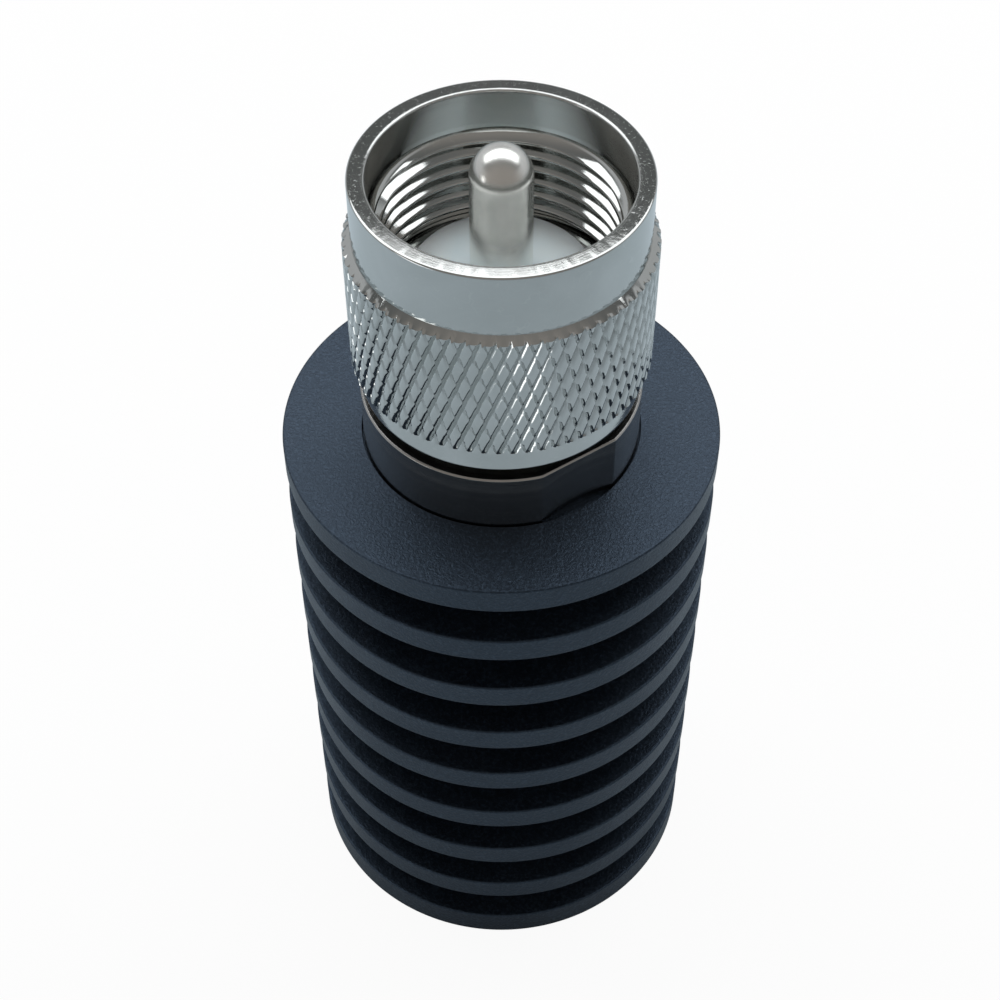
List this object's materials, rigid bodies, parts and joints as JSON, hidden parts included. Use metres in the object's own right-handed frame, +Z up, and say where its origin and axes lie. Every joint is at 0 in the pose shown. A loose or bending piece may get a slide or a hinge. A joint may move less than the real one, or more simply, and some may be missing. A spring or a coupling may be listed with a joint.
{
  "type": "rf dummy load",
  "caption": "Coaxial RF dummy load: a round, black, finned heat sink with a knurled UHF coupling nut, white insulator and round-nosed centre pin on top.",
  "frame": {"origin": "centre of the heat sink's flat foot", "axes": "+Z up the axis of the plug, from the foot to the tip of the centre pin; +X lies 56 degrees anticlockwise, seen from above, from the middle of the spanner flat that shows in the picture, which faces the front right"},
  "size_m": [0.03, 0.03, 0.068],
  "materials": {
    "black_anodised": "black anodised, turned, fine matte grain",
    "nickel_body": "bright nickel plate on brass, turned",
    "nickel_nut": "bright nickel plate on brass, turned and diamond knurled",
    "nickel_pin": "bright nickel plate on brass",
    "spring_steel": "spring steel, bright",
    "insulator_white": "white PTFE, machined, slightly glossy",
    "carrier_aluminium": "plain turned and milled aluminium",
    "tab_plated": "nickel-plated copper tab",
    "chip_ceramic": "ceramic with resistive film",
    "lid_ceramic": "plain white ceramic",
    "lead_silver": "silver-plated ribbon",
    "solder": "bright solder",
    "screw_steel": "stainless steel"
  },
  "bodies": {
    "root": {"heat_sink": "black_anodised", "connector_body": "nickel_body", "nut_retaining_ring": "spring_steel", "front_insulator": "insulator_white", "rear_insulator": "insulator_white", "centre_pin": "nickel_pin", "load_carrier": "carrier_aluminium", "resistor_flange": "tab_plated", "resistor_chip": "chip_ceramic", "resistor_lid": "lid_ceramic", "resistor_lead": "lead_silver", "solder_joint": "solder", "flange_screw_left": "screw_steel", "flange_screw_right": "screw_steel", "flange_washer_left": "screw_steel", "flange_washer_right": "screw_steel"},
    "nut": {"coupling_nut": "nickel_nut"}
  },
  "joints": [
    {"name": "coupling_nut_spin", "type": "hinge", "parent": "root", "child": "nut", "pos_m": [0, 0, 0.0525], "axis": [0, 0, 1], "continuous": true}
  ]
}
